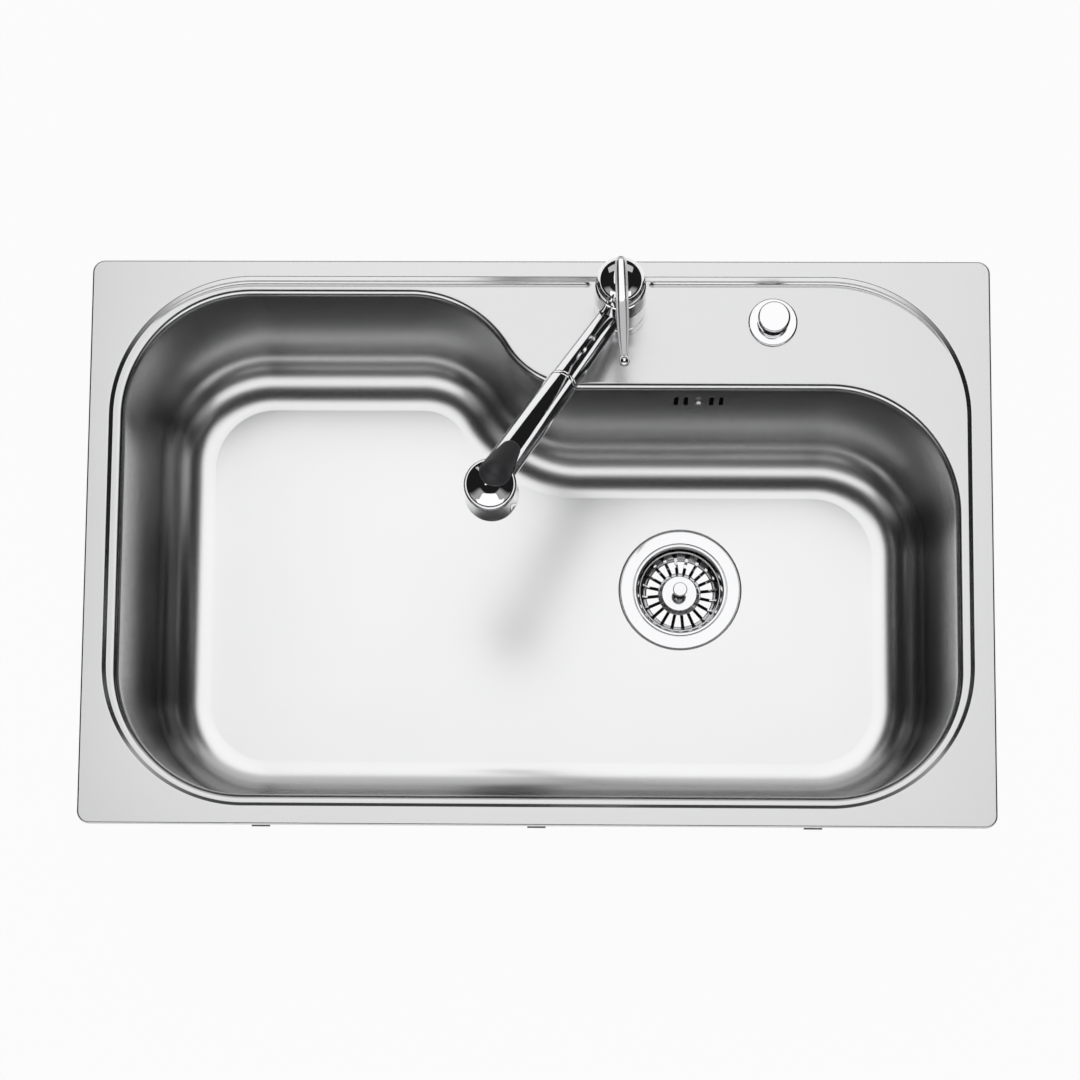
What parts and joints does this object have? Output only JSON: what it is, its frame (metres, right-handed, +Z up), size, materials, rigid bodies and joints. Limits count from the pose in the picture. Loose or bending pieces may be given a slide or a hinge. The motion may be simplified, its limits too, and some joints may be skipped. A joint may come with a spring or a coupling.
{
  "type": "kitchen sink",
  "caption": "Inset steel kitchen sink with a large bowl, lever mixer tap with pull-out spray, basket waste, overflow and a knob that lifts the basket.",
  "frame": {"origin": "centre of the worktop surface under the rim", "axes": "+X to the right of a person at the sink, +Y to the wall behind it, +Z up"},
  "size_m": [0.79, 0.5, 0.4928],
  "materials": {
    "sink_steel": "satin stainless steel",
    "foam_seal": "closed cell foam",
    "zinc_steel": "zinc plated steel",
    "damping_pad": "embossed damping sheet",
    "polished_steel": "polished stainless steel",
    "black_rubber": "matt black rubber",
    "black_plastic": "black plastic",
    "grey_plastic": "dark grey plastic",
    "white_plastic": "white plastic",
    "chrome": "bright chrome plate",
    "brass": "machined brass",
    "ceramic": "polished ceramic",
    "button_rubber": "soft touch dark grey"
  },
  "bodies": {
    "sink": {"sink_bowl": "sink_steel", "rim_seal": "foam_seal", "clip_brackets": "zinc_steel", "clip_jaws": "zinc_steel", "clip_screws": "zinc_steel", "sound_pad": "damping_pad", "waste_cup": "polished_steel", "flange_gasket": "black_rubber", "floor_gasket": "black_rubber", "waste_body": "white_plastic", "waste_screws": "polished_steel", "lift_guide": "black_plastic", "lift_guide_nut": "black_plastic", "overflow_screw": "polished_steel", "overflow_gasket": "black_rubber", "overflow_housing": "white_plastic", "overflow_pipe": "white_plastic", "overflow_nuts": "white_plastic", "control_rosette": "chrome", "control_housing": "black_plastic", "control_lid": "black_plastic", "control_gasket": "black_rubber", "control_nut": "black_plastic", "control_gland": "black_plastic", "tap_base": "chrome", "base_seal": "black_rubber", "tap_shank": "brass", "tap_gasket": "black_rubber", "tap_washer": "zinc_steel", "tap_nut": "brass", "swivel_ring": "white_plastic", "body_circlip": "polished_steel"},
    "control": {"control_knob": "chrome", "control_spindle": "brass", "control_cam": "grey_plastic"},
    "lift_pin": {"lift_pin": "polished_steel"},
    "basket": {"basket": "polished_steel", "basket_knob": "polished_steel", "basket_stem": "white_plastic", "basket_seal": "black_rubber", "seal_clip": "polished_steel"},
    "spout": {"tap_body": "chrome", "spout_bush": "black_plastic", "tap_tails": "brass", "cartridge_case": "grey_plastic", "fixed_disc": "ceramic", "cartridge_nut": "brass"},
    "mixer": {"mix_carrier": "grey_plastic", "pivot_pin": "polished_steel", "lever_cap": "chrome", "moving_disc": "ceramic"},
    "lever": {"lever": "chrome", "lever_stem": "brass"},
    "handset": {"handset_shell": "chrome", "handset_collar": "grey_plastic", "nozzle_ring": "chrome", "spray_face": "grey_plastic", "aerator": "grey_plastic", "hose_end": "zinc_steel"},
    "spray_button": {"spray_button": "button_rubber"}
  },
  "joints": [
    {"name": "control_turn", "type": "hinge", "parent": "sink", "child": "control", "pos_m": [0.2046, 0.195, 0], "axis": [0, 0, 1], "range_deg": [0, 90]},
    {"name": "pin_lift", "type": "slide", "parent": "sink", "child": "lift_pin", "axis": [0, 0, 1], "range_m": [0, 0.0085]},
    {"name": "basket_out", "type": "slide", "parent": "lift_pin", "child": "basket", "axis": [0, 0, 1], "range_m": [0, 0.09]},
    {"name": "spout_swivel", "type": "hinge", "parent": "sink", "child": "spout", "pos_m": [0.0703, 0.207, 0], "axis": [0, 0, 1], "range_deg": [-60, 115]},
    {"name": "mix_turn", "type": "hinge", "parent": "spout", "child": "mixer", "pos_m": [0.0703, 0.207, 0], "axis": [0, 0, 1], "range_deg": [-50, 50]},
    {"name": "lever_lift", "type": "hinge", "parent": "mixer", "child": "lever", "pos_m": [0.0703, 0.207, 0.0765], "axis": [-0.9995, -0.0314, 0], "range_deg": [0, 22]},
    {"name": "handset_pull", "type": "slide", "parent": "spout", "child": "handset", "axis": [-0.3798, -0.7143, 0.5878], "range_m": [0, 0.1]},
    {"name": "button_press", "type": "slide", "parent": "handset", "child": "spray_button", "axis": [0, 0, -1], "range_m": [0, 0.001], "stiffness_N_per_m": 800}
  ],
  "couplings": [
    {"joint": "pin_lift", "follows": "control_turn", "m_per_rad": 0.005093}
  ]
}
